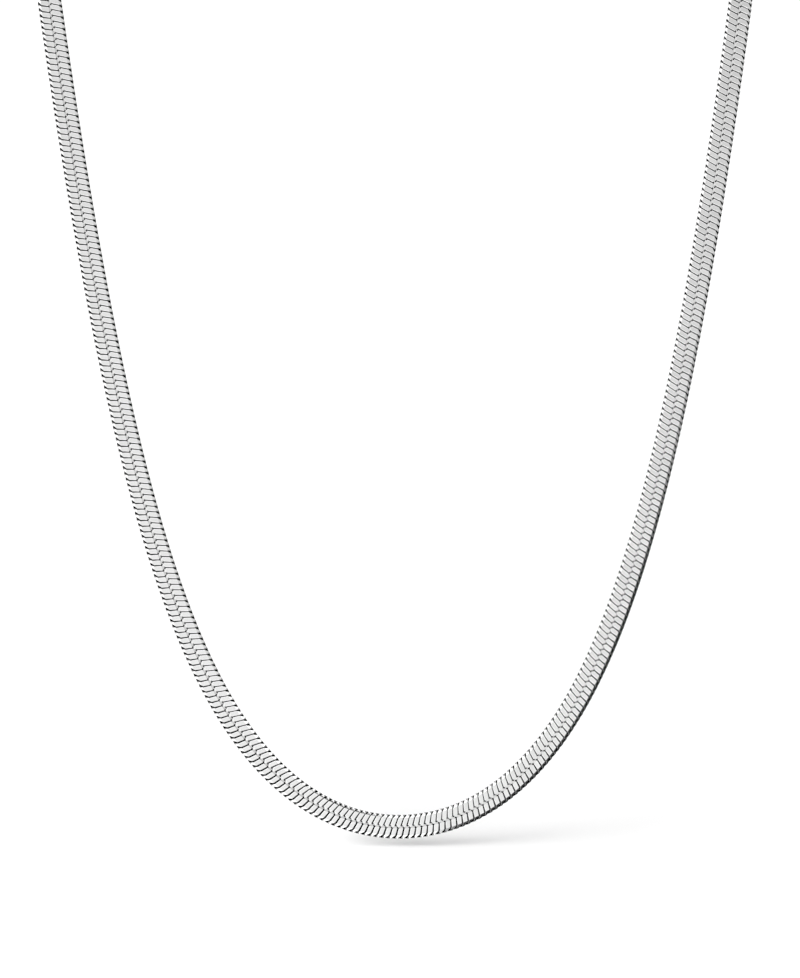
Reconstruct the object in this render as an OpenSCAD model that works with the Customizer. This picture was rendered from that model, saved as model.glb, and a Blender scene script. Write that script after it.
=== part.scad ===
// Flat herringbone chain necklace, hanging open in the form that it takes round a neck.
// +Z is up, the wearer faces -Y, +X is the right of someone who looks at the front.
// The origin is on the inner face of the clasp, where the necklace sits on the nape.

/* [Chain band] */
// Width of the flat band
band_w = 4; // [3:0.1:5]
// Thickness of the band, edge beads included
band_t = 1; // [0.8:0.05:1.2]
// Depth of the crease along the middle of each face
crease = 0.06; // [0:0.01:0.1]
// Length of the whole loop along its middle, clasp included
loop_len = 500; // [490:1:515]

/* [Front drop] */
// Length along the band from its lowest point to the side of the neck
front_len = 158; // [150:1:162]
// Bend radius at the lowest point, the tightest that the band takes edgewise
bottom_r = 26.5; // [24:0.5:30]
// Length along the band from the lowest point to where the bend has halved
bend_reach = 30; // [26:0.5:34]
// Power of the bend's fading into a straight strand
bend_fade = 2.5; // [2.2:0.1:3]
// Lean of the front drop back from the vertical
lean = 15; // [5:1:25]

/* [Way round the neck] */
// Height of the nape over the sides of the neck
nape_rise = 24; // [18:1:30]
// Straight stretch on each side of the nape's middle, along the clasp set
nape_half = 15; // [15:0.5:18]
// Reach of the upward run at the side of the neck
side_reach = 26; // [20:1:30]
// Reach of the level run towards the nape
nape_reach = 34; // [28:1:38]
// Upward tilt of the band's outer face at the nape
nape_tilt = 35; // [20:1:50]
// Outward turn of the band's outer face at the side of the neck
side_turn = 1.1; // [0.6:0.1:1.4]
// Upward turn of the band's outer face at the side of the neck
side_lift = 0.8; // [0.4:0.1:1.2]

/* [Clasp set] */
// Wire thickness of a jump ring
ring_wire = 0.7; // [0.6:0.05:0.8]
// Inner diameter of a jump ring
ring_inner = 2.8; // [2.7:0.1:3]
// Hole diameter of an end cap's eye and of the clasp's eye
eye_hole = 1.5; // [1.4:0.05:1.6]
// Wall round an eye's hole
eye_wall = 0.65; // [0.55:0.05:0.75]
// Thickness of an eye
eye_t = 0.9; // [0.8:0.05:1]
// Clearance between a ring and the wall that carries it
seat_gap = 0.2; // [0.15:0.01:0.25]
// Clearance between the band's end and its cap
fit_gap = 0.1; // [0.08:0.01:0.12]
// Wall of an end cap round the band
cap_wall = 0.35; // [0.3:0.05:0.45]
// Length of an end cap's sleeve
cap_sleeve = 3.6; // [3:0.1:4]
// Length of an end cap's taper from the sleeve to the eye
cap_taper = 2.2; // [1.8:0.1:2.4]
// Distance from the clasp's middle to its claw's tip
claw_reach = 5.2; // [5:0.1:5.4]
// Wall at the claw's tip, which the right jump ring passes round
tip_wall = 0.95; // [0.85:0.05:1.05]
// Radius of the clasp's claw end
claw_r = 2.6; // [2.5:0.05:2.8]
// Radius of the claw's opening at its wide end
claw_hole_r = 1.6; // [1.5:0.05:1.7]
// Thickness of the clasp's claw
claw_t = 1; // [0.9:0.05:1.1]
// Thickness of the clasp's spring barrel
barrel_t = 1.9; // [1.6:0.1:2.2]

/* [Hidden] */
silver = [0.83, 0.84, 0.86];
bright_silver = [0.9, 0.9, 0.92];
$fn = 48;

// Steps of the sweep, and corners on each rounded edge of the band
front_step = 1.2;
back_steps = 32;
edge_corners = 6;

// Least and greatest depth of the neck's sides before the nape, and how often the span is halved
least_depth = 10;
most_depth = 90;
depth_tries = 30;

// Frame of the nape: the outer face's direction, and where the band's middle lies there
nape_out = [0, cos(nape_tilt), sin(nape_tilt)];
nape_mid = nape_out * barrel_t / 2;

// Places along the clasp set, from the clasp's middle outwards
ring_r = ring_inner / 2 + ring_wire / 2;
// A ring's middle lies this far from the inside of each wall that it passes round
wall_to_centre = ring_inner / 2 - seat_gap;
claw_hole_edge = claw_reach - tip_wall;
ring_x = claw_hole_edge + wall_to_centre;
eye_r = eye_hole / 2 + eye_wall;
cap_eye_x = ring_x + wall_to_centre + eye_hole / 2;
taper_x = cap_eye_x + eye_r / 2;
sleeve_x = taper_x + cap_taper;
cap_end_x = sleeve_x + cap_sleeve;
slot_x = sleeve_x + cap_wall;
band_end_x = slot_x + fit_gap;
clasp_eye_x = -(claw_hole_edge - eye_hole / 2);

// Small helpers
function unit(v) = v / norm(v);
function flip(p) = [-p.x, p.y, p.z];
function total(v, i = 0) = i < len(v) ? v[i] + total(v, i + 1) : 0;

// Bend of the front drop at a length s from its lowest point, in degrees per millimetre
function bend(s) = (180 / PI) / (bottom_r * (1 + pow(s / bend_reach, bend_fade)));

// Front drop in its own plane: rows of [across, up, heading] from the lowest point to the neck
front_count = round(front_len / front_step);
front = [
    for (i = 0, s = front_len / front_count, row = [0, 0, 0];
         i <= front_count;
         turn = bend((i + 0.5) * s) * s,
         mid = row[2] + turn / 2,
         row = [row[0] + s * cos(mid), row[1] + s * sin(mid), row[2] + turn],
         i = i + 1)
    row
];
neck_side = front[front_count];

// Front drop in space, for a given depth of the sides of the neck before the nape
front_out = [0, -cos(lean), sin(lean)];
function front_point(row, depth) = nape_mid + [
    row[0],
    -depth - (neck_side[1] - row[1]) * sin(lean),
    -nape_rise - (neck_side[1] - row[1]) * cos(lean)
];
function front_along(row) = [cos(row[2]), sin(row[2]) * sin(lean), sin(row[2]) * cos(lean)];

// Way from the side of the neck to the nape: one curve with its four poles
function back_poles(depth) = [
    front_point(neck_side, depth),
    front_point(neck_side, depth) + side_reach * front_along(neck_side),
    nape_mid + [nape_half + nape_reach, 0, 0],
    nape_mid + [nape_half, 0, 0]
];
function curve_point(p, t) = pow(1 - t, 3) * p[0] + 3 * pow(1 - t, 2) * t * p[1]
    + 3 * (1 - t) * t * t * p[2] + pow(t, 3) * p[3];
function curve_along(p, t) = unit(pow(1 - t, 2) * (p[1] - p[0]) + 2 * (1 - t) * t * (p[2] - p[1])
    + t * t * (p[3] - p[2]));
function curve_len(p) = total([
    for (i = [1 : 3 * back_steps])
        norm(curve_point(p, i / (3 * back_steps)) - curve_point(p, (i - 1) / (3 * back_steps)))
]);

// Depth of the sides of the neck before the nape that gives the loop its length, by halving
back_len = loop_len / 2 - front_len - nape_half;
function depth_for(low, high, tries) = tries == 0 ? (low + high) / 2
    : curve_len(back_poles((low + high) / 2)) > back_len
        ? depth_for(low, (low + high) / 2, tries - 1)
        : depth_for((low + high) / 2, high, tries - 1);
neck_depth = depth_for(least_depth, most_depth, depth_tries);

// Outer face's direction on the way round, square to the band
function face_blend(t) = pow(1 - t, 2) * front_out + 2 * (1 - t) * t * [side_turn, 0, side_lift]
    + t * t * nape_out;
function square_to(v, along) = unit(v - along * (v * along));

// Stations of the right half: rows of [point, along, outer face's direction]
back_curve = back_poles(neck_depth);
half_band = [
    for (i = [0 : 2 : front_count - 1])
        [front_point(front[i], neck_depth), front_along(front[i]), front_out],
    for (i = [0 : back_steps])
        let (t = i / back_steps, along = curve_along(back_curve, t))
        [curve_point(back_curve, t), along, square_to(face_blend(t), along)],
    [nape_mid + [band_end_x, 0, 0], [-1, 0, 0], nape_out]
];
// A strand on the left runs the other way, so its mirrored direction is turned round
function other_side(row) = [flip(row[0]), -flip(row[1]), flip(row[2])];
band = [
    for (i = [len(half_band) - 1 : -1 : 1]) other_side(half_band[i]),
    each half_band
];

// Cross-section of the band: rows of [towards the inner edge, towards the outer face]
edge_mid = band_w / 2 - band_t / 2;
function edge_arc(side) = [
    for (i = [0 : edge_corners - 1])
        let (a = -90 + 180 * i / (edge_corners - 1))
        [side * (edge_mid + band_t / 2 * cos(a)), side * band_t / 2 * sin(a)]
];
band_section = [
    each edge_arc(1), [0, band_t / 2 - crease],
    each edge_arc(-1), [0, -band_t / 2 + crease]
];

// The woven band, one solid swept along its stations
module chain() {
    sides = len(band_section);
    points = [
        for (row = band, c = band_section)
            row[0] + c[0] * cross(row[2], row[1]) + c[1] * row[2]
    ];
    walls = [
        for (i = [0 : len(band) - 2], k = [0 : sides - 1])
            let (n = (k + 1) % sides, a = i * sides, b = a + sides)
            [a + k, a + n, b + n, b + k]
    ];
    ends = [
        [for (k = [sides - 1 : -1 : 0]) k],
        [for (k = [0 : sides - 1]) (len(band) - 1) * sides + k]
    ];
    color(silver) polyhedron(points = points, faces = concat(walls, ends), convexity = 10);
}

// Lays a piece that is drawn flat, with its thickness up, on the nape
module on_nape() {
    translate(nape_mid) rotate([nape_tilt - 90, 0, 0]) children();
}

// A flat bar with round ends of two radii, drawn with straight sides that touch both
module tapered_bar(x1, r1, x2, r2) {
    slope = asin((r1 - r2) / abs(x2 - x1));
    way = sign(x2 - x1);
    translate([x1, 0]) circle(r1);
    translate([x2, 0]) circle(r2);
    polygon([
        [x1 + way * r1 * sin(slope), r1 * cos(slope)],
        [x2 + way * r2 * sin(slope), r2 * cos(slope)],
        [x2 + way * r2 * sin(slope), -r2 * cos(slope)],
        [x1 + way * r1 * sin(slope), -r1 * cos(slope)]
    ]);
}

// A rectangle with round corners, w across and h high
module round_rect(w, h, r) {
    square([w - 2 * r, h], center = true);
    square([w, h - 2 * r], center = true);
    for (x = [-1, 1], y = [-1, 1])
        translate([x * (w / 2 - r), y * (h / 2 - r)]) circle(r);
}

// A block along X from x1 to x2 with a rounded section, w wide and h thick
module sleeve_block(x1, x2, w, h, r) {
    translate([x1, 0, 0]) rotate([90, 0, 90]) linear_extrude(x2 - x1) round_rect(w, h, r);
}

// An end cap on the right: a sleeve that holds the band's end, and an eye on a taper
module end_cap() {
    cap_w = band_w + 2 * fit_gap + 2 * cap_wall;
    cap_t = band_t + 2 * fit_gap + 2 * cap_wall;
    slot_w = band_w + 2 * fit_gap;
    slot_t = band_t + 2 * fit_gap;
    side_flat = 0.05;
    shoulder = 0.3;
    taper_y = cap_w / 2 - shoulder;
    color(bright_silver) on_nape() difference() {
        union() {
            sleeve_block(sleeve_x, cap_end_x, cap_w, cap_t, cap_t / 2 - side_flat);
            translate([0, 0, -eye_t / 2]) linear_extrude(eye_t) {
                translate([cap_eye_x, 0]) circle(eye_r);
                polygon([
                    [taper_x - eye_r / 2, -eye_r], [taper_x, -eye_r],
                    [sleeve_x, -taper_y], [sleeve_x + cap_wall, -taper_y],
                    [sleeve_x + cap_wall, taper_y], [sleeve_x, taper_y],
                    [taper_x, eye_r], [taper_x - eye_r / 2, eye_r]
                ]);
            }
        }
        sleeve_block(slot_x, cap_end_x + 1, slot_w, slot_t, slot_t / 2 - side_flat);
        translate([cap_eye_x, 0, -eye_t]) cylinder(h = 2 * eye_t, d = eye_hole);
    }
}

module end_cap_right() {
    end_cap();
}

module end_cap_left() {
    mirror([1, 0, 0]) end_cap();
}

// A jump ring that stands on edge to the clasp set, at a place along X
module jump_ring(x) {
    color(bright_silver) on_nape() translate([x, 0, 0]) rotate([90, 0, 0])
        rotate_extrude() translate([ring_r, 0]) circle(d = ring_wire, $fn = 24);
}

module jump_ring_right() {
    jump_ring(ring_x);
}

module jump_ring_left() {
    jump_ring(-ring_x);
}

// The clasp as one plain closed piece: an eye, a spring barrel with its thumb tab, and a claw
module clasp() {
    claw_x = claw_reach - claw_r;
    claw_hole_x = claw_hole_edge - claw_hole_r;
    throat_x = 0.9;
    throat_r = 0.7;
    barrel_x = -1.3;
    barrel_r = 1.2;
    tab_x = 0.2;
    tab_y = 2.1;
    tab_r = 0.6;
    color(bright_silver) on_nape() difference() {
        union() {
            translate([0, 0, -claw_t / 2]) linear_extrude(claw_t) {
                tapered_bar(claw_x, claw_r, clasp_eye_x, eye_r);
                translate([tab_x, tab_y]) circle(tab_r);
            }
            translate([barrel_x, 0, -barrel_t / 2]) cylinder(h = barrel_t, r = barrel_r);
        }
        translate([0, 0, -claw_t]) linear_extrude(2 * claw_t)
            tapered_bar(claw_hole_x, claw_hole_r, throat_x, throat_r);
        translate([clasp_eye_x, 0, -claw_t]) cylinder(h = 2 * claw_t, d = eye_hole);
    }
}

chain();
end_cap_left();
end_cap_right();
jump_ring_left();
jump_ring_right();
clasp();
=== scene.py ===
"""Studio scene of a flat herringbone chain necklace, hanging in the form it takes round a neck.

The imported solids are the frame. The chain's solid band is replaced by its interlocked links, and
the solids of the clasp set by copies with softened edges. Sizes are in millimetres and angles in
degrees until a mesh, a light or a camera is made.
"""

import logging
import math
from dataclasses import dataclass, field
from enum import Enum
from typing import Any, ClassVar

import bmesh
import bpy
import numpy as np
from mathutils import Matrix, Vector


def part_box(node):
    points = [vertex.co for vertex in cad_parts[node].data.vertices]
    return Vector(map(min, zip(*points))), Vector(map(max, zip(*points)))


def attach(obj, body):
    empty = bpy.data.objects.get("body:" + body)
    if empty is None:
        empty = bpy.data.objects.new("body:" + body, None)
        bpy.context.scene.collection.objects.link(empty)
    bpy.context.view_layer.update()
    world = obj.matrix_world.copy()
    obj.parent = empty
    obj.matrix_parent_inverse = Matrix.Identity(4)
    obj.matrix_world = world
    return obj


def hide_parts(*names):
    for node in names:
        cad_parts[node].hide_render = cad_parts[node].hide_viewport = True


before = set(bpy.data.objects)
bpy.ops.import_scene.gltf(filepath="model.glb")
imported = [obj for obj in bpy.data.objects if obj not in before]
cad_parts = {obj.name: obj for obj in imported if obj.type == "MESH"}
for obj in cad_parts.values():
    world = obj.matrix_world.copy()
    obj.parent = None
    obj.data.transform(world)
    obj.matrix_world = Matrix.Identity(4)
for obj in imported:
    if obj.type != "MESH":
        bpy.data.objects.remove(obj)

LOG = logging.getLogger("necklace")
MM = 0.001
RIGHT = np.array([1.0, 0.0, 0.0])

Span = tuple[float, float]
Colour = tuple[float, float, float]
SocketKey = int | str


class Slot(Enum):
    """Names for the material slots of the links and of the fittings."""

    LINKS = "silver_links"
    FITTINGS = "silver_fittings"


class Sock:
    """A node's output socket, which adds Math nodes when it is used in an expression."""

    def __init__(self, tree: "NodeTree", socket: bpy.types.NodeSocket | None) -> None:
        """Wraps one output socket of a tree, or None for a node that has none."""
        self.tree = tree
        self.socket = socket

    def other(self, key: SocketKey) -> "Sock":
        """Another output of the same node, by index or identifier."""
        return Sock(self.tree, find_socket(self.socket.node.outputs, key))

    def _math(self, operation: str, *values: Any) -> "Sock":
        """Adds one Math node and returns its result."""
        return self.tree.node("ShaderNodeMath", {"operation": operation}, dict(enumerate(values)))

    def __add__(self, other: Any) -> "Sock":
        """Sum of two values."""
        return self._math("ADD", self, other)

    def __radd__(self, other: Any) -> "Sock":
        """Sum of two values."""
        return self._math("ADD", other, self)

    def __sub__(self, other: Any) -> "Sock":
        """Difference of two values."""
        return self._math("SUBTRACT", self, other)

    def __rsub__(self, other: Any) -> "Sock":
        """Difference of two values."""
        return self._math("SUBTRACT", other, self)

    def __mul__(self, other: Any) -> "Sock":
        """Product of two values."""
        return self._math("MULTIPLY", self, other)

    def __rmul__(self, other: Any) -> "Sock":
        """Product of two values."""
        return self._math("MULTIPLY", other, self)

    def __truediv__(self, other: Any) -> "Sock":
        """Quotient of two values."""
        return self._math("DIVIDE", self, other)

    def __rtruediv__(self, other: Any) -> "Sock":
        """Quotient of two values."""
        return self._math("DIVIDE", other, self)

    def __abs__(self) -> "Sock":
        """Size of a value without its sign."""
        return self._math("ABSOLUTE", self)


class NodeTree:
    """Adds and links nodes in one shader or geometry node tree."""

    def __init__(self, tree: bpy.types.NodeTree) -> None:
        """Wraps a node tree."""
        self.tree = tree

    def node(
        self,
        kind: str,
        settings: dict[str, Any] | None = None,
        inputs: dict[SocketKey, Any] | None = None,
        output: SocketKey = 0,
    ) -> Sock:
        """Adds a node, sets it up and returns one of its outputs.

        Args:
            kind: The node's type.
            settings: Properties that are set first, such as a Math node's operation.
            inputs: Values or links of the sockets, by index or identifier.
            output: Which output is returned, by index or identifier.

        Returns:
            The output socket, wrapped.
        """
        made = self.tree.nodes.new(kind)
        for name, value in (settings or {}).items():
            setattr(made, name, value)
        for key, value in (inputs or {}).items():
            self._put(find_socket(made.inputs, key), value)
        return Sock(self, find_socket(made.outputs, output) if made.outputs else None)

    def _put(self, socket: bpy.types.NodeSocket, value: Any) -> None:
        """Links a wrapped socket to an input, or sets the input's own value.

        Args:
            socket: The input socket.
            value: A wrapped output socket, or a plain value.
        """
        if isinstance(value, Sock):
            self.tree.links.new(value.socket, socket)
        else:
            socket.default_value = value

    def ramp(self, value: Sock, span: Span) -> Sock:
        """A smooth step of a value.

        Args:
            value: The value.
            span: Where the step leaves 0 and where it reaches 1.

        Returns:
            The step, from 0 to 1.
        """
        settings = {"interpolation_type": "SMOOTHSTEP"}
        inputs = {"Value": value, "From Min": span[0], "From Max": span[1]}
        return self.node("ShaderNodeMapRange", settings, inputs, "Result")

    def blend(self, factor: Sock, first: Sock | Colour, second: Sock | Colour) -> Sock:
        """Mixes two colours.

        Args:
            factor: The second colour's share.
            first: A wrapped socket, or a plain colour.
            second: A wrapped socket, or a plain colour.

        Returns:
            The mixed colour.
        """
        pair = [c if isinstance(c, Sock) else (*c, 1.0) for c in (first, second)]
        inputs = {"Factor_Float": factor, "A_Color": pair[0], "B_Color": pair[1]}
        return self.node("ShaderNodeMix", {"data_type": "RGBA"}, inputs, "Result_Color")

    def share(self, way: Sock, axis: np.ndarray) -> Sock:
        """Share of a direction along an axis, from -1 to 1."""
        inputs = {0: way, 1: tuple(float(a) for a in axis)}
        return self.node("ShaderNodeVectorMath", {"operation": "DOT_PRODUCT"}, inputs, "Value")


@dataclass(frozen=True)
class SilverFinish:
    """Polished silver: bright faces, a fine haze of handling, and dark gaps.

    Scales of the noise are per metre. One attribute gives each corner's tarnishing and painted
    shade: 0 on the open faces, 1 deep between links and on the diving strands, and partway on
    some tips, edges and turns. The attribute named tone is a small random number for each link.
    """

    name: str
    woven: bool = False
    clean: Colour = (0.93, 0.93, 0.925)
    hazed: Colour = (0.78, 0.78, 0.785)
    hazed_share: float = 0.12
    dull: Colour = (0.72, 0.72, 0.73)
    dull_share: float = 0.10
    # Near-black colour of tarnishing in the hollows and of painted shade between links and along
    # the hem
    oxide_and_shade_colour: Colour = (0.012, 0.012, 0.013)
    oxide_and_shade_span: Span = (0.03, 0.3)
    roughness: float = 0.09
    haze: float = 0.05
    haze_scale: float = 380.0
    haze_detail: float = 3.0
    scratch_scale: float = 5200.0
    scratch_detail: float = 2.0
    scratch_draw: float = 0.12
    scratch_bump: float = 0.05
    scratch_depth: float = 0.01

    def material(self) -> bpy.types.Material:
        """Builds the finish as a material.

        Returns:
            A node material on a Principled shader.
        """
        made = bpy.data.materials.new(self.name)
        tree = shader_tree(made)
        place = tree.node("ShaderNodeTexCoord", output="Object")
        haze = self._noise(tree, place, self.haze_scale, self.haze_detail)
        base = tree.blend(haze * self.hazed_share, self.clean, self.hazed)
        if self.woven:
            tone, oxide_and_shade = self._attribute(tree, "tone"), self._attribute(tree, "oxide_and_shade")
            base = tree.blend(tone * self.dull_share, base, self.dull)
            # Darkens towards the near-black colour: tarnishing in the hollows and painted shade
            base = tree.blend(tree.ramp(oxide_and_shade, self.oxide_and_shade_span), base, self.oxide_and_shade_colour)
        marks = {
            "Strength": self.scratch_bump,
            "Distance": self.scratch_depth * MM,
            "Height": self._scratches(tree, place),
        }
        looks = {
            "Base Color": base,
            "Metallic": 1.0,
            "Roughness": haze * self.haze + self.roughness,
            "Normal": tree.node("ShaderNodeBump", inputs=marks),
        }
        shader = tree.node("ShaderNodeBsdfPrincipled", inputs=looks)
        tree.node("ShaderNodeOutputMaterial", inputs={"Surface": shader})
        return made

    @staticmethod
    def _attribute(tree: NodeTree, name: str) -> Sock:
        """A number that the mesh carries."""
        return tree.node("ShaderNodeAttribute", {"attribute_name": name}, output="Fac")

    @staticmethod
    def _noise(tree: NodeTree, place: Sock, scale: float, detail: float) -> Sock:
        """Soft noise of a given scale and detail."""
        inputs = {"Vector": place, "Scale": scale, "Detail": detail}
        return tree.node("ShaderNodeTexNoise", inputs=inputs, output="Fac")

    def _scratches(self, tree: NodeTree, place: Sock) -> Sock:
        """Fine polishing lines: noise drawn out along the piece's height.

        Args:
            tree: The tree to add to.
            place: The place on the piece.

        Returns:
            The height of the lines.
        """
        stretch = {"Vector": place, "Scale": (1.0, 1.0, self.scratch_draw)}
        drawn = tree.node("ShaderNodeMapping", inputs=stretch)
        return self._noise(tree, drawn, self.scratch_scale, self.scratch_detail)


@dataclass(frozen=True)
class NecklacePath:
    """The middle line of the band, from the left cap down round the front to the right cap.

    The sizes are the part's own. The front drop lies in one plane and leans back. A curve with four
    poles leads from the side of the neck to the nape.
    """

    loop_len: float = 500.0
    front_len: float = 158.0
    bottom_r: float = 26.5
    bend_reach: float = 30.0
    bend_fade: float = 2.5
    lean: float = 15.0
    nape_rise: float = 24.0
    nape_half: float = 15.0
    side_reach: float = 26.0
    nape_reach: float = 34.0
    nape_tilt: float = 35.0
    side_turn: float = 1.1
    side_lift: float = 0.8
    barrel_t: float = 1.9
    band_end_x: float = 10.75
    least_depth: float = 10.0
    most_depth: float = 90.0
    depth_tries: int = 30
    front_steps: int = 1600
    back_steps: int = 800

    @property
    def front_out(self) -> np.ndarray:
        """Direction that the front drop's outer face looks in."""
        lean = math.radians(self.lean)
        return np.array([0.0, -math.cos(lean), math.sin(lean)])

    @property
    def front_up(self) -> np.ndarray:
        """Upward direction in the plane of the front drop."""
        lean = math.radians(self.lean)
        return np.array([0.0, math.sin(lean), math.cos(lean)])

    @property
    def nape_out(self) -> np.ndarray:
        """Direction that the outer face looks in at the nape."""
        tilt = math.radians(self.nape_tilt)
        return np.array([0.0, math.cos(tilt), math.sin(tilt)])

    @property
    def nape_mid(self) -> np.ndarray:
        """Where the band's middle lies at the nape."""
        return self.nape_out * self.barrel_t / 2

    def drop(self) -> tuple[np.ndarray, np.ndarray]:
        """The front drop in its own plane.

        Returns:
            Rows of [across, up] from the lowest point to the side of the neck, and the headings.
        """
        step = self.front_len / self.front_steps
        middles = (np.arange(self.front_steps) + 0.5) * step
        bends = step / (self.bottom_r * (1 + (middles / self.bend_reach) ** self.bend_fade))
        headings = np.concatenate([[0.0], np.cumsum(bends)])
        between = (headings[1:] + headings[:-1]) / 2
        moves = step * np.column_stack([np.cos(between), np.sin(between)])
        return np.vstack([[0.0, 0.0], np.cumsum(moves, axis=0)]), headings

    def poles(self, depth: float) -> np.ndarray:
        """The four poles of the way from the side of the neck to the nape.

        Args:
            depth: How far the sides of the neck lie before the nape.

        Returns:
            A row for each pole.
        """
        flat, headings = self.drop()
        side = np.array([flat[-1, 0], -depth, -self.nape_rise])
        along = math.cos(headings[-1]) * RIGHT + math.sin(headings[-1]) * self.front_up
        end = self.nape_half * RIGHT
        level = self.nape_reach * RIGHT
        return np.array([side, side + self.side_reach * along, end + level, end]) + self.nape_mid

    def curve(self, poles: np.ndarray) -> tuple[np.ndarray, np.ndarray]:
        """The way from the side of the neck to the nape.

        Args:
            poles: Its four poles.

        Returns:
            Its points, and how far along each one is, from 0 to 1.
        """
        t = np.linspace(0.0, 1.0, self.back_steps + 1)[:, None]
        weights = ((1 - t) ** 3, 3 * (1 - t) ** 2 * t, 3 * (1 - t) * t**2, t**3)
        return sum(w * p for w, p in zip(weights, poles)), t

    def depth(self) -> float:
        """Finds by halving how far the sides of the neck lie before the nape.

        Returns:
            The depth that gives the loop its length.
        """
        goal = self.loop_len / 2 - self.front_len - self.nape_half
        low, high = self.least_depth, self.most_depth
        for _ in range(self.depth_tries):
            middle = (low + high) / 2
            points, _t = self.curve(self.poles(middle))
            longer = np.linalg.norm(np.diff(points, axis=0), axis=1).sum() > goal
            low, high = (low, middle) if longer else (middle, high)
        return (low + high) / 2

    def half(self) -> tuple[np.ndarray, np.ndarray]:
        """The right half.

        Returns:
            Points from the lowest point to the band's end, and the outer face's direction at each.
        """
        poles = self.poles(self.depth())
        flat, _headings = self.drop()
        across, up = flat[:, 0], flat[:, 1] - flat[-1, 1]
        front = np.outer(across, RIGHT) + np.outer(up, self.front_up)
        front += poles[0] * (1.0 - RIGHT)
        back, t = self.curve(poles)
        end = self.nape_mid + self.band_end_x * RIGHT
        outs = (1 - t) ** 2 * self.front_out + t**2 * self.nape_out
        outs = outs + 2 * (1 - t) * t * np.array([self.side_turn, 0.0, self.side_lift])
        points = np.vstack([front[:-1], back, end])
        faces = np.vstack([np.tile(self.front_out, (len(front) - 1, 1)), outs, self.nape_out])
        return points, faces

    def whole(self) -> tuple[np.ndarray, np.ndarray]:
        """The whole band, from left to right.

        Returns:
            Its points, and the outer face's direction at each, square to the band.
        """
        points, faces = self.half()
        mirror = 1.0 - 2.0 * RIGHT
        points = np.vstack([points[:0:-1] * mirror, points])
        faces = np.vstack([faces[:0:-1] * mirror, faces])
        along = np.gradient(points, axis=0)
        along /= np.linalg.norm(along, axis=1)[:, None]
        faces = faces - along * np.sum(faces * along, axis=1)[:, None]
        return points, faces / np.linalg.norm(faces, axis=1)[:, None]


@dataclass(frozen=True)
class Station:
    """A cross-section of one quarter of a link, which runs from the band's middle to its edge.

    Its place across the band and its height are measured from the band's middle, and the tilt is
    its outer face's, towards the edge. A width of None is a whole bar's. The step is how much of
    the way to the bar on the other face it has gone. Shades are painted shade: they darken its
    outer face and its sides in the link material's tarnished colour.
    """

    across: float
    height: float
    tilt: float = 0.0
    width: float | None = None
    step: float = 0.0
    bevel: float = 0.055
    back_inset: float = 0.0
    # Painted shade on the outer face, and on the sides
    shade: float = 0.0
    side_shade: float = 0.0
    creased: bool = True


@dataclass(frozen=True)
class Section:
    """A station that has its place on one lobe and one face of the link."""

    station: Station
    lobe: int
    centre: np.ndarray
    out: np.ndarray
    width: float


@dataclass(frozen=True)
class LinkMesh:
    """A link's points and faces, its corners' painted shade and tarnishing, and crisp edges."""

    points: np.ndarray
    faces: list[tuple[int, ...]]
    oxide_and_shade: list[float]
    crisp: set[frozenset[int]]

    def object(self) -> bpy.types.Object:
        """Makes a helper object of the link.

        Returns:
            The object, shaded smooth between its crisp edges.
        """
        mesh = bpy.data.meshes.new("link")
        mesh.from_pydata((self.points * MM).tolist(), [], self.faces)
        # Each corner's tarnishing and painted shade, which darkens the silver
        mesh.attributes.new("oxide_and_shade", "FLOAT", "CORNER").data.foreach_set("value", self.oxide_and_shade)
        mesh.shade_smooth()
        for edge in mesh.edges:
            edge.use_edge_sharp = frozenset(edge.vertices) in self.crisp
        return new_object("link", mesh)


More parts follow.
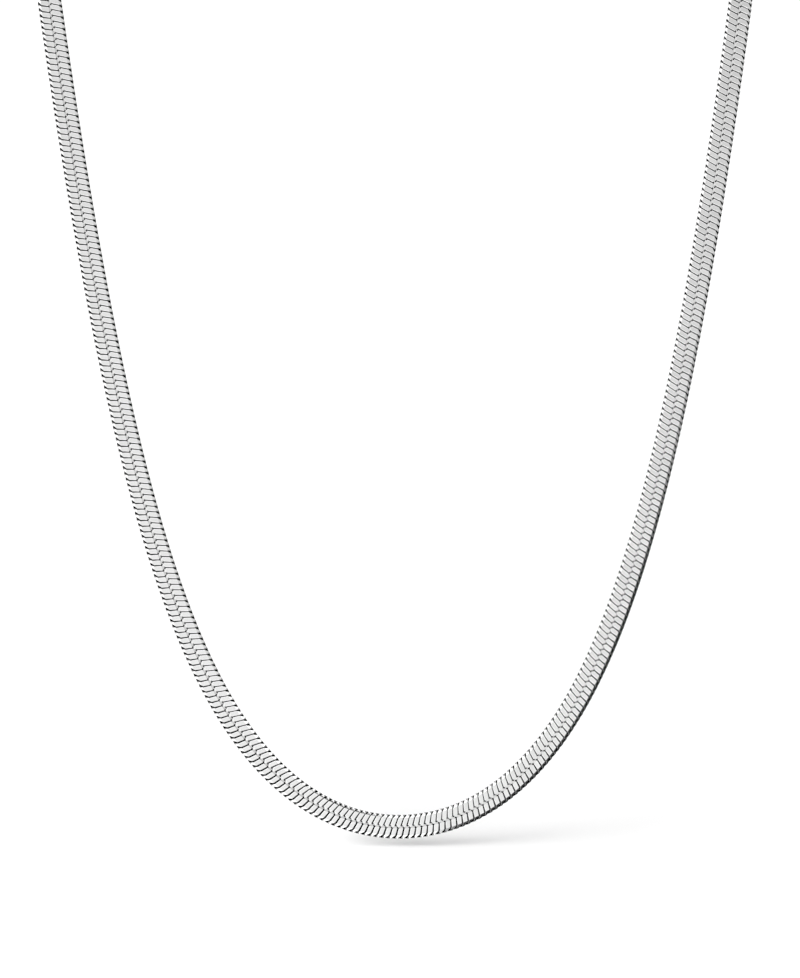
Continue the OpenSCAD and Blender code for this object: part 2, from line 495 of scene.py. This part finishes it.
@dataclass(frozen=True)
class LinkShape:
    """One link of the weave: a closed figure of eight, pressed flat.

    Its two lobes lie side by side across the band. Each lobe is a bar on the front face, a turn
    round the edge and a bar on the back face. In the middle the two strands between the lobes dive
    through the band and cross, over a pitch and a half apart, so each link holds the next one.
    Coordinates are along the band, across it towards the inner edge, and out of the front face.
    """

    pitch: float
    strand: float = 0.36
    gap: float = 0.215
    bevel_drop: float = 0.04
    underside: float = 0.45
    outer_lean: float = 17.4
    inner_lean: float = 20.5
    row_step: float = -1.63
    front_shift: float = 0.118
    back_shift: float = 0.09
    back_share: float = 0.89
    # The tip's shade and the outer edge's and turn's side shades are painted shade: darker tips and
    # a dark outer hem
    tip: Station = Station(-0.045, 0.325, -35.0, 0.14, shade=0.08)
    shoulder: Station = Station(0.27, 0.32)
    outer_edge: Station = Station(1.40, 0.32, 4.0, 0.78, -0.04, side_shade=0.3)
    outer_turn: Station = Station(
        1.83, 0.17, 64.0, 0.40, 0.26, 0.02, back_inset=0.13, side_shade=1.0, creased=False
    )
    inner_edge: Station = Station(1.48, 0.32, 5.0, 0.78)
    inner_turn: Station = Station(
        1.83, 0.18, 70.0, 0.48, 0.15, 0.02, back_inset=0.13, creased=False
    )

    # Corners of a cross-section: how many there are, their order on the inner lobe, where the ring
    # starts underneath so that the strands meet untwisted, and the outer ones from side to side
    CORNERS: ClassVar[int] = 6
    INNER_ORDER: ClassVar[tuple[int, ...]] = (4, 3, 2, 1, 0, 5)
    OUTER_CORNERS: ClassVar[dict[int, tuple[int, ...]]] = {-1: (5, 0, 1, 2), 1: (5, 4, 3, 2)}

    def bar_line(self, lobe: int, reach: float, front: bool) -> float:
        """Where the middle of a bar lies along the band.

        Args:
            lobe: 1 for the inner lobe, -1 for the outer one.
            reach: How far out from the band's middle line to look.
            front: Whether the bar is on the front face.

        Returns:
            The place along the band.
        """
        inner = lobe > 0
        lean = self.inner_lean if inner else self.outer_lean
        step = self.row_step * self.pitch if inner == front else 0.0
        return step + lobe * reach * math.tan(math.radians(lean))

    def sections(self) -> list[Section]:
        """The cross-sections round the whole link.

        Returns:
            The sections in order along the strand.
        """
        edges = {-1: (self.outer_edge, self.outer_turn), 1: (self.inner_edge, self.inner_turn)}
        rows = []
        for lobe, edge in edges.items():
            quarter = (self.tip, self.shoulder, *edge)
            rows += [self._section(station, lobe, True) for station in quarter]
            rows += [self._section(station, lobe, False) for station in reversed(quarter)]
        return rows

    def _section(self, station: Station, lobe: int, front: bool) -> Section:
        """Places a station.

        Args:
            station: A station of the quarter.
            lobe: 1 for the inner lobe, -1 for the outer one.
            front: Whether it is on the front face.

        Returns:
            The cross-section in its place.
        """
        face = 1 if front else -1
        reach = max(station.across, 0.0)
        here = self.bar_line(lobe, reach, front)
        there = self.bar_line(lobe, reach, not front)
        along = here + station.step * (there - here)
        if station is self.tip:
            along += lobe * face * (self.front_shift if front else self.back_shift)
        across = lobe * (station.across - (0.0 if front else station.back_inset))
        tilt = math.radians(station.tilt)
        width = station.width or self.pitch - self.gap
        return Section(
            station=station,
            lobe=lobe,
            centre=np.array([along, across, face * station.height]),
            out=np.array([0.0, lobe * math.sin(tilt), face * math.cos(tilt)]),
            width=width * (1.0 if front else self.back_share),
        )

    def _ring(self, section: Section) -> list[tuple[np.ndarray, float]]:
        """The corners of a cross-section.

        Args:
            section: The cross-section.

        Returns:
            A point and its tarnishing and painted shade for each corner.
        """
        station = section.station
        half = section.width / 2
        low = half * self.underside
        bevel = min(station.bevel, half / 2)
        top = self.strand / 2
        side = top - self.bevel_drop
        # Underside corners are fully darkened, tarnishing and painted shade; the others take the
        # station's painted shades
        ring = [
            (-half + bevel, top, station.shade),
            (half - bevel, top, station.shade),
            (half, side, station.side_shade),
            (low, -top, 1.0),
            (-low, -top, 1.0),
            (-half, side, station.side_shade),
        ]
        if section.lobe > 0:
            ring = [ring[i] for i in self.INNER_ORDER]
        return [
            (section.centre + along * RIGHT + out * section.out, deep) for along, out, deep in ring
        ]

    def mesh_data(self) -> LinkMesh:
        """The link as a closed mesh, with its length centred on 0.

        Returns:
            The mesh's data.
        """
        sections = self.sections()
        corners = [corner for section in sections for corner in self._ring(section)]
        points = np.array([point for point, _deep in corners])
        points[:, 0] -= (points[:, 0].max() + points[:, 0].min()) / 2
        faces: list[tuple[int, ...]] = []
        oxide_and_shade: list[float] = []
        crisp: set[frozenset[int]] = set()
        for index, section in enumerate(sections):
            after = (index + 1) % len(sections)
            diving = section.station is self.tip and sections[after].station is self.tip
            a, b = index * self.CORNERS, after * self.CORNERS
            for k in range(self.CORNERS):
                beside = (k + 1) % self.CORNERS
                face = (a + k, b + k, b + beside, a + beside)
                faces.append(face)
                # The diving strands in the middle are painted fully dark, as shade between the
                # links
                oxide_and_shade += [1.0 if diving else corners[i][1] for i in face]
                crisp.add(frozenset((a + k, b + k)))
            if section.station.creased:
                outer = self.OUTER_CORNERS[section.lobe]
                crisp |= {frozenset((a + j, a + k)) for j, k in zip(outer, outer[1:])}
        return LinkMesh(points, faces, oxide_and_shade, crisp)


@dataclass
class ChainBand:
    """The woven band: its links set along the necklace's line by Geometry Nodes.

    The play is how far a link may be turned at random about each of its axes.
    """

    path: NecklacePath = field(default_factory=NecklacePath)
    goal_pitch: float = 0.98
    play: float = 0.4
    seed: int = 7
    flat_weight: int = 90
    node_name: str = "chain"

    def build(self) -> bpy.types.Object:
        """Builds the links and puts them in the band's place.

        Returns:
            The piece, as one plain mesh.
        """
        points, faces = self.path.whole()
        length = np.linalg.norm(np.diff(points, axis=0), axis=1).sum()
        reach = self._link_reach(LinkShape(self.goal_pitch))
        count = round((length - 2 * reach) / self.goal_pitch) + 1
        shape = LinkShape((length - 2 * reach) / (count - 1))
        LOG.info("%s: %d links, pitch %.4f mm", self.node_name, count, shape.pitch)
        link = shape.mesh_data().object()
        line = self._line_object(points, faces)
        host = new_object("link_host", bpy.data.meshes.new("link_host"))
        weave = host.modifiers.new("weave", "NODES")
        weave.node_group = self._tree()
        values = {
            "Line": line,
            "Link": link,
            "Count": count,
            "Margin": reach * MM,
            "Play": math.radians(self.play),
            "Seed": self.seed,
            "Finish": SilverFinish("polished_links", woven=True).material(),
        }
        set_inputs(weave, values)
        flat = host.modifiers.new("flat_faces", "WEIGHTED_NORMAL")
        flat.keep_sharp, flat.weight = True, self.flat_weight
        piece = solid_copy(host, "chain_links")
        for helper in (host, link, line):
            bpy.data.objects.remove(helper)
        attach(piece, "root")
        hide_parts(self.node_name)
        return piece

    @staticmethod
    def _link_reach(shape: LinkShape) -> float:
        """How far a link reaches along the band from its own middle."""
        return float(shape.mesh_data().points[:, 0].max())

    @staticmethod
    def _line_object(points: np.ndarray, faces: np.ndarray) -> bpy.types.Object:
        """The band's line as a helper object.

        Args:
            points: The line's points.
            faces: The outer face's direction at each, which the object keeps as outward.

        Returns:
            The object, a mesh of edges.
        """
        mesh = bpy.data.meshes.new("line")
        edges = [(i, i + 1) for i in range(len(points) - 1)]
        mesh.from_pydata((points * MM).tolist(), edges, [])
        outward = mesh.attributes.new("outward", "FLOAT_VECTOR", "POINT")
        outward.data.foreach_set("vector", faces.ravel())
        return new_object("line", mesh)

    def _tree(self) -> bpy.types.NodeTree:
        """Builds the tree that sets links along a line, each turned to the band's face.

        Returns:
            A geometry node group, with a named input for each value.
        """
        group = bpy.data.node_groups.new("herringbone_weave", "GeometryNodeTree")
        kinds = {
            "Line": "Object",
            "Link": "Object",
            "Count": "Int",
            "Margin": "Float",
            "Play": "Float",
            "Seed": "Int",
            "Finish": "Material",
        }
        for name, kind in kinds.items():
            group.interface.new_socket(name, in_out="INPUT", socket_type="NodeSocket" + kind)
        group.interface.new_socket("Geometry", in_out="OUTPUT", socket_type="NodeSocketGeometry")
        tree = NodeTree(group)
        inside = tree.node("NodeGroupInput").socket.node.outputs
        given = {s.name: Sock(tree, s) for s in inside if s.name}
        place = self._sample(tree, given)
        points = {"Count": given["Count"], "Position": place}
        turn = tree.node(
            "FunctionNodeAxesToRotation",
            {"primary_axis": "X", "secondary_axis": "Z"},
            {"Primary Axis": place.other("Tangent"), "Secondary Axis": place.other("Value")},
        )
        turned = tree.node(
            "FunctionNodeRotateRotation",
            {"rotation_space": "LOCAL"},
            {"Rotation": turn, "Rotate By": self._tilt(tree, given)},
        )
        spots = {
            "Points": tree.node("GeometryNodePoints", inputs=points),
            "Instance": self._geometry_of(tree, given["Link"]),
            "Rotation": turned,
        }
        placed = tree.node("GeometryNodeInstanceOnPoints", inputs=spots)
        seed = {"Seed": given["Seed"]}
        tone = tree.node("FunctionNodeRandomValue", {"data_type": "FLOAT"}, seed, "Value_001")
        toned = tree.node(
            "GeometryNodeStoreNamedAttribute",
            {"data_type": "FLOAT", "domain": "INSTANCE"},
            {"Geometry": placed, "Name": "tone", "Value": tone},
            "Geometry",
        )
        real = tree.node("GeometryNodeRealizeInstances", inputs={"Geometry": toned})
        finish = {"Geometry": real, "Material": given["Finish"]}
        dressed = tree.node("GeometryNodeSetMaterial", inputs=finish)
        tree.node("NodeGroupOutput", inputs={0: dressed})
        return group

    @staticmethod
    def _geometry_of(tree: NodeTree, item: Sock) -> Sock:
        """The geometry of an object that is given as an input."""
        return tree.node("GeometryNodeObjectInfo", inputs={"Object": item}, output="Geometry")

    def _sample(self, tree: NodeTree, given: dict[str, Sock]) -> Sock:
        """Samples the line at each link's place, evenly between the two margins.

        Args:
            tree: The tree to add to.
            given: The tree's inputs by name.

        Returns:
            The place. Its node's other outputs are the tangent and the outer face's direction.
        """
        line = self._geometry_of(tree, given["Line"])
        curve = tree.node("GeometryNodeMeshToCurve", inputs={"Mesh": line}, output="Curve")
        length = tree.node("GeometryNodeCurveLength", inputs={"Curve": curve}, output="Length")
        share = tree.node("GeometryNodeInputIndex") / (given["Count"] - 1.0)
        outward = tree.node(
            "GeometryNodeInputNamedAttribute",
            {"data_type": "FLOAT_VECTOR"},
            {"Name": "outward"},
            "Attribute",
        )
        wanted = {
            "Curves": curve,
            "Value": outward,
            "Length": given["Margin"] + share * (length - given["Margin"] * 2.0),
        }
        settings = {"data_type": "FLOAT_VECTOR", "mode": "LENGTH"}
        return tree.node("GeometryNodeSampleCurve", settings, wanted, "Position")

    @staticmethod
    def _tilt(tree: NodeTree, given: dict[str, Sock]) -> Sock:
        """Turns each link a little at random, within its play.

        Args:
            tree: The tree to add to.
            given: The tree's inputs by name.

        Returns:
            The turn, as a rotation.
        """
        ends = {"Min": (-1.0, -1.0, -1.0), "Max": (1.0, 1.0, 1.0), "Seed": given["Seed"]}
        shake = tree.node("FunctionNodeRandomValue", {"data_type": "FLOAT_VECTOR"}, ends, "Value")
        inputs = {"Vector": shake, "Scale": given["Play"]}
        tilt = tree.node("ShaderNodeVectorMath", {"operation": "SCALE"}, inputs, "Vector")
        return tree.node("FunctionNodeEulerToRotation", inputs={"Euler": tilt})


@dataclass
class ClaspSet:
    """The end caps, jump rings and clasp, with the edges of their solids softened.

    Points closer than the merging distance become one, and faces that meet more flatly than the
    flat angle become one. Edges sharper than the sharp angle are rounded.
    """

    edged: tuple[str, ...] = ("end_cap_left", "end_cap_right", "clasp")
    rings: tuple[str, ...] = ("jump_ring_left", "jump_ring_right")
    edge: float = 0.14
    segments: int = 3
    sharp: float = 35.0
    flat: float = 0.5
    merging: float = 0.0005
    roughness: float = 0.15
    haze: float = 0.09

    def build(self) -> list[bpy.types.Object]:
        """Builds a softened piece for each solid.

        Returns:
            The pieces.
        """
        finish = SilverFinish("polished_fittings", roughness=self.roughness, haze=self.haze)
        material = finish.material()
        made = [self._soften(name, self.edge) for name in self.edged]
        made += [self._soften(name, 0.0) for name in self.rings]
        for piece in made:
            piece.data.materials.clear()
            piece.data.materials.append(material)
        return made

    def _merged(self, node: str) -> bpy.types.Mesh:
        """Copies a solid's mesh, merges its loose triangles and joins its flat faces.

        Args:
            node: The solid's name.

        Returns:
            The copy, shaded smooth.
        """
        work = bmesh.new()
        work.from_mesh(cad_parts[node].data)
        bmesh.ops.remove_doubles(work, verts=work.verts, dist=self.merging * MM)
        limit = math.radians(self.flat)
        bmesh.ops.dissolve_limit(work, angle_limit=limit, verts=work.verts, edges=work.edges)
        mesh = bpy.data.meshes.new(node)
        work.to_mesh(mesh)
        work.free()
        mesh.shade_smooth()
        return mesh

    def _soften(self, node: str, edge: float) -> bpy.types.Object:
        """Rounds a solid's sharp edges and lets the piece stand for the node.

        Args:
            node: The solid's name.
            edge: Width of the rounding, or 0 for a round solid.

        Returns:
            The piece.
        """
        host = new_object(node + "_host", self._merged(node))
        if edge > 0:
            bevel = host.modifiers.new("edges", "BEVEL")
            bevel.width, bevel.segments = edge * MM, self.segments
            bevel.limit_method, bevel.angle_limit = "ANGLE", math.radians(self.sharp)
            bevel.harden_normals = False
            host.modifiers.new("flat_faces", "WEIGHTED_NORMAL").keep_sharp = False
        piece = solid_copy(host, node + "_piece")
        bpy.data.objects.remove(host)
        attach(piece, "root")
        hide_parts(node)
        return piece


@dataclass(frozen=True)
class DarkPatch:
    """A dark patch of the tent: a sector round the front, between two angles with soft ends.

    An angle of 0 is to the right and 90 is up. The patch fades out, and may fade in, over a span of
    the share towards the front.
    """

    darkness: float
    start: float
    end: float
    soft: float
    fade_out: Span
    fade_in: Span | None = None

    def mask(self, tree: NodeTree, angle: Sock, front: Sock) -> Sock:
        """Builds the patch's mask.

        Args:
            tree: The tree to add to.
            angle: A direction's angle round the front, in radians.
            front: The direction's share towards the front.

        Returns:
            1 inside the patch and 0 outside it.
        """
        start, end, soft = (math.radians(v) for v in (self.start, self.end, self.soft))
        inside = tree.ramp(angle, (start, start + soft))
        inside = inside * (1.0 - tree.ramp(angle, (end - soft, end)))
        if self.fade_in:
            inside = inside * tree.ramp(front, self.fade_in)
        return inside * (1.0 - tree.ramp(front, self.fade_out))


@dataclass(frozen=True)
class Tent:
    """What surrounds the silver: a white tent, greyer in front and behind, with dark patches.

    A direction is told by its shares towards the front, to the right and up, from -1 to 1. A span
    is where a change starts and where it is done. Each level is the tent's brightness there.
    """

    path: NecklacePath = field(default_factory=NecklacePath)
    to_before: Span = (-0.02, 0.26)
    to_middle: Span = (0.83, 0.90)
    before_level: float = 1.45
    left_drop: float = 0.5
    left_span: Span = (0.35, 0.6)
    left_height: Span = (0.4, 0.65)
    left_front: Span = (0.45, 0.6)
    middle_level: float = 0.885
    middle_drop: float = 0.16
    middle_span: Span = (0.022, 0.036)
    middle_slope: float = 1.6
    middle_height: float = 0.08
    behind_level: float = 0.50
    behind_middle: float = 0.6
    side_gain: float = 0.45
    side_span: Span = (0.18, 0.55)
    side_height: Span = (0.35, 0.6)
    flag: DarkPatch = DarkPatch(0.98, -82.0, -6.0, 12.0, (0.72, 0.84))
    seam: DarkPatch = DarkPatch(0.9, 50.0, 88.0, 10.0, (0.68, 0.82), fade_in=(0.40, 0.54))
    grey: DarkPatch = DarkPatch(0.52, -28.0, 34.0, 10.0, (0.6, 0.9))
    floor_light: float = 0.43

    def build(self) -> None:
        """Builds the tent as the world. The camera sees plain white, and grey lights the floor."""
        world = bpy.data.worlds.new("studio")
        bpy.context.scene.world = world
        tree = shader_tree(world)
        way = tree.node("ShaderNodeTexCoord", output="Generated")
        front = tree.share(way, self.path.front_out)
        right = tree.share(way, RIGHT)
        up = tree.share(way, self.path.front_up)
        near = tree.ramp(abs(front), self.to_middle)
        ahead = tree.ramp(front, self.to_before)
        before = self._before(tree, front, right, up)
        before = before * (1.0 - near) + self._middle(tree, right, up) * near
        behind = self._behind(tree, right, up) * (1.0 - near) + self.behind_middle * near
        level = before * ahead + behind * (1.0 - ahead)
        angle = tree.node("ShaderNodeMath", {"operation": "ARCTAN2"}, {0: up, 1: right})
        for patch in (self.flag, self.seam, self.grey):
            level = level * (1.0 - patch.darkness * patch.mask(tree, angle, front))
        seen = tree.node("ShaderNodeLightPath", output="Is Camera Ray")
        soft = seen.other("Is Diffuse Ray")
        level = level * (1.0 - soft) + self.floor_light * soft
        light = {"Color": (1.0, 1.0, 1.0, 1.0), "Strength": level * (1.0 - seen) + seen}
        shade = tree.node("ShaderNodeBackground", inputs=light)
        tree.node("ShaderNodeOutputWorld", inputs={"Surface": shade})

    def _before(self, tree: NodeTree, front: Sock, right: Sock, up: Sock) -> Sock:
        """The tent's level in front, lower towards the left.

        Args:
            tree: The tree to add to.
            front: The share towards the front.
            right: The share to the right.
            up: The share upwards.

        Returns:
            The level.
        """
        left = tree.ramp(0.0 - right, self.left_span)
        left = left * (1.0 - tree.ramp(abs(up), self.left_height))
        return self.before_level - left * tree.ramp(front, self.left_front) * self.left_drop

    def _middle(self, tree: NodeTree, right: Sock, up: Sock) -> Sock:
        """The level straight ahead, which falls a little to the right and upwards.

        Args:
            tree: The tree to add to.
            right: The share to the right.
            up: The share upwards.

        Returns:
            The level.
        """
        limits = {"Value": up, "Min": -self.middle_height, "Max": self.middle_height}
        rise = tree.node("ShaderNodeClamp", inputs=limits)
        step = tree.ramp(right, self.middle_span)
        return self.middle_level - step * self.middle_drop - rise * self.middle_slope

    def _behind(self, tree: NodeTree, right: Sock, up: Sock) -> Sock:
        """The level behind, which is higher at the sides.

        Args:
            tree: The tree to add to.
            right: The share to the right.
            up: The share upwards.

        Returns:
            The level.
        """
        sides = tree.ramp(abs(right), self.side_span) * (1.0 - tree.ramp(up, self.side_height))
        return self.behind_level + sides * self.side_gain


@dataclass(frozen=True)
class Studio:
    """A pale floor, a soft white studio and a long lens that looks square at the front drop.

    The picture's size and the lowest point's place in it are in pixels. The roll turns the camera
    about its own axis, as the picture is turned.
    """

    path: NecklacePath = field(default_factory=NecklacePath)
    picture: tuple[int, int] = (800, 978)
    px_per_mm: float = 6.0
    lowest_px: tuple[float, float] = (400.0, 826.7)
    roll: float = -0.33
    distance: float = 1300.0
    sensor: float = 36.0
    clip: Span = (50.0, 50000.0)
    floor_gap: float = 1.35
    floor_half: float = 6000.0
    floor_colour: Colour = (0.9, 0.9, 0.9)
    light_from: tuple[float, float, float] = (-3.6, -0.85, 0.8)
    light_strength: float = 9.27
    light_spread: float = 64.0

    def build(self) -> None:
        """Builds the camera, the floor, the light and the tent."""
        self._camera()
        self._floor()
        self._light()
        Tent(self.path).build()
        settings = bpy.context.scene.view_settings
        settings.view_transform, settings.look = "Standard", "None"

    def _camera(self) -> None:
        """Sets the camera so that the scale and the band's lowest point match the picture."""
        wide, high = self.picture
        up, toward = self.path.front_up, self.path.front_out
        roll = math.radians(self.roll)
        right, up = (
            math.cos(roll) * RIGHT + math.sin(roll) * up,
            math.cos(roll) * up - math.sin(roll) * RIGHT,
        )
        lowest = self.path.half()[0][0]
        aim = lowest + right * (wide / 2 - self.lowest_px[0]) / self.px_per_mm
        aim = aim + up * (self.lowest_px[1] - high / 2) / self.px_per_mm
        data = bpy.data.cameras.new("camera")
        data.sensor_width = self.sensor
        data.lens = self.sensor * self.distance / (high / self.px_per_mm)
        data.clip_start, data.clip_end = self.clip[0] * MM, self.clip[1] * MM
        camera = new_object("camera", data)
        camera.location = ((aim + toward * self.distance) * MM).tolist()
        camera.rotation_mode = "QUATERNION"
        axes = np.column_stack([right, up, toward])
        camera.rotation_quaternion = Matrix(axes.tolist()).to_quaternion()
        bpy.context.scene.camera = camera

    def _floor(self) -> None:
        """A plain pale floor just under the lowest point."""
        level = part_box("chain")[0].z - self.floor_gap * MM
        half = self.floor_half * MM
        ring = ((-half, -half), (half, -half), (half, half), (-half, half))
        mesh = bpy.data.meshes.new("floor")
        mesh.from_pydata([(x, y, level) for x, y in ring], [], [(0, 1, 2, 3)])
        floor = new_object("floor", mesh)
        material = bpy.data.materials.new("pale_floor")
        tree = shader_tree(material)
        colour = {"Color": (*self.floor_colour, 1.0)}
        shader = tree.node("ShaderNodeBsdfDiffuse", inputs=colour)
        tree.node("ShaderNodeOutputMaterial", inputs={"Surface": shader})
        mesh.materials.append(material)
        floor.visible_glossy = False

    def _light(self) -> None:
        """One broad light, low on the left and in front, which the silver doesn't mirror."""
        data = bpy.data.lights.new("broad_light", "SUN")
        data.energy = self.light_strength
        data.angle = math.radians(self.light_spread)
        light = new_object("broad_light", data)
        light.rotation_mode = "QUATERNION"
        light.rotation_quaternion = Vector(self.light_from).to_track_quat("Z", "Y")
        light.visible_glossy = False


def find_socket(sockets: Any, key: SocketKey) -> bpy.types.NodeSocket:
    """Finds one of a node's sockets.

    Args:
        sockets: The node's inputs or outputs.
        key: The socket's index or its identifier.

    Returns:
        The socket.
    """
    if isinstance(key, int):
        return sockets[key]
    return next(s for s in sockets if s.identifier == key)


def shader_tree(owner: bpy.types.Material | bpy.types.World) -> NodeTree:
    """Empties the node tree of a material or a world.

    Args:
        owner: The material or world.

    Returns:
        The tree, wrapped.
    """
    owner.use_nodes = True
    owner.node_tree.nodes.clear()
    return NodeTree(owner.node_tree)


def new_object(name: str, data: Any) -> bpy.types.Object:
    """Makes an object and puts it in the scene.

    Args:
        name: The object's name.
        data: Its mesh, light or camera.

    Returns:
        The object.
    """
    made = bpy.data.objects.new(name, data)
    bpy.context.scene.collection.objects.link(made)
    return made


def set_inputs(modifier: bpy.types.Modifier, values: dict[str, Any]) -> None:
    """Sets a Geometry Nodes modifier's inputs through their identifiers.

    Args:
        modifier: The modifier.
        values: The values by the inputs' names.
    """
    for item in modifier.node_group.interface.items_tree:
        if item.item_type == "SOCKET" and item.in_out == "INPUT":
            modifier[item.identifier] = values[item.name]


def solid_copy(host: bpy.types.Object, name: str) -> bpy.types.Object:
    """Turns an object with its modifiers into a plain mesh object.

    Args:
        host: The object with modifiers.
        name: The new object's name.

    Returns:
        The new object.
    """
    graph = bpy.context.evaluated_depsgraph_get()
    graph.update()
    mesh = bpy.data.meshes.new_from_object(host.evaluated_get(graph), depsgraph=graph)
    mesh.name = name
    return new_object(name, mesh)


def main() -> None:
    """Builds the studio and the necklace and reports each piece."""
    logging.basicConfig(level=logging.INFO, format="%(name)s: %(message)s")
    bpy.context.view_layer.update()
    Studio().build()
    pieces = [ChainBand().build(), *ClaspSet().build()]
    for piece in pieces:
        LOG.info("%s: %d faces", piece.name, len(piece.data.polygons))


if __name__ == "__main__":
    main()
